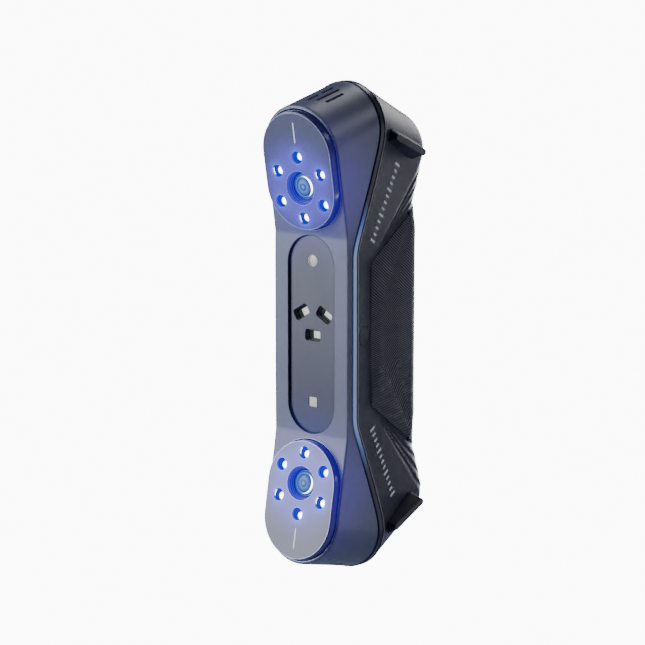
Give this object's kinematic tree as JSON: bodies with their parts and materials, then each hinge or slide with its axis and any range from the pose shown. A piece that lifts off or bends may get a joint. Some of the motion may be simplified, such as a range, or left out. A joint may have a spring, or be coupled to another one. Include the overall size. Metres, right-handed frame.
{
  "type": "handheld scanner",
  "caption": "Handheld 3-D scanner: upright body with a tilted camera pod at each end, a laser window between them, a ribbed grip with push buttons behind and a tripod socket.",
  "frame": {"origin": "centre of the bounding box", "axes": "+Z along the body towards the upper camera pod, +Y from the lens faces towards the grip, +X to the side that carries the tripod socket"},
  "size_m": [0.0484, 0.0759, 0.2154],
  "materials": {
    "shell_front": "fine-grained satin violet-grey moulding, pale blue-grey on the front face",
    "shell_rear": "fine-grained near-black moulding",
    "band": "metallic steel-blue paint",
    "grip_rubber": "soft overmould with a fine herringbone of small ribs",
    "window": "smoked panel, semi-gloss",
    "baffle": "optical black",
    "lens_face": "lavender blue-grey satin face with a glossy navy rim",
    "white_light": "white light pipe",
    "barrel": "stepped optical black",
    "lens_glass": "coated glass",
    "camera_body": "black anodised",
    "board": "green solder mask over glass fibre",
    "blue_led": "blue lamp with a clear dome",
    "white_board": "white solder mask",
    "laser_can": "turned brass",
    "bench_metal": "machined aluminium",
    "flash": "white flash lamp with a yellow phosphor",
    "chips": "black epoxy packages",
    "fan_plastic": "black moulding",
    "steel": "nickel-plated steel",
    "trim_black": "gloss black moulding",
    "key_scan": "blue key with a raised ring",
    "key_grey": "grey key",
    "status": "green light pipe",
    "rubber_black": "black rubber, fine grain",
    "flex": "amber polyimide film"
  },
  "bodies": {
    "housing": {"front_shell": "shell_front", "rear_shell": "shell_rear", "accent_band": "band", "grip_sleeve": "grip_rubber", "window_panel": "window", "laser_baffle": "baffle", "lens_cover_top": "lens_face", "lens_cover_bottom": "lens_face", "index_light_top": "white_light", "index_light_bottom": "white_light", "camera_barrel_top": "barrel", "camera_barrel_bottom": "barrel", "camera_lens_top": "lens_glass", "camera_lens_bottom": "lens_glass", "camera_module_top": "camera_body", "camera_module_bottom": "camera_body", "camera_board_top": "board", "camera_board_bottom": "board", "fill_leds_top": "blue_led", "fill_leds_bottom": "blue_led", "led_board_top": "white_board", "led_board_bottom": "white_board", "laser_left": "laser_can", "laser_right": "laser_can", "laser_lower": "laser_can", "line_lenses": "lens_glass", "laser_block": "bench_metal", "color_camera": "camera_body", "color_lens": "lens_glass", "flash_lamp": "flash", "optical_bench": "bench_metal", "main_board": "board", "main_chips": "chips", "heat_sink": "bench_metal", "fan_frame": "fan_plastic", "usb_socket": "steel", "port_frame": "trim_black", "usb_board": "board", "control_panel": "trim_black", "button_board": "board", "button_switches": "steel", "status_light": "status", "tripod_insert": "laser_can", "foot_top_right": "rubber_black", "foot_top_left": "rubber_black", "foot_bottom_right": "rubber_black", "foot_bottom_left": "rubber_black", "shell_screws": "steel", "camera_screws": "steel", "board_screws": "steel", "keypad_screws": "steel", "flex_top": "flex", "flex_bottom": "flex", "flex_keypad": "flex"},
    "fan": {"fan_rotor": "fan_plastic"},
    "scan_key": {"scan_button": "key_scan"},
    "plus_key": {"plus_button": "key_grey"},
    "minus_key": {"minus_button": "key_grey"},
    "plug": {"tripod_plug": "rubber_black"}
  },
  "joints": [
    {"name": "fan_spin", "type": "hinge", "parent": "housing", "child": "fan", "pos_m": [0, -0.003, 0.09], "axis": [0, 0, 1], "continuous": true},
    {"name": "scan_press", "type": "slide", "parent": "housing", "child": "scan_key", "axis": [0, -1, 0], "range_m": [0, 0.0008], "stiffness_N_per_m": 900, "springref_m": -0.0012},
    {"name": "plus_press", "type": "slide", "parent": "housing", "child": "plus_key", "axis": [0, -1, 0], "range_m": [0, 0.0008], "stiffness_N_per_m": 700, "springref_m": -0.0012},
    {"name": "minus_press", "type": "slide", "parent": "housing", "child": "minus_key", "axis": [0, -1, 0], "range_m": [0, 0.0008], "stiffness_N_per_m": 700, "springref_m": -0.0012},
    {"name": "plug_pull", "type": "slide", "parent": "housing", "child": "plug", "axis": [1, 0, 0], "range_m": [0, 0.03]}
  ]
}
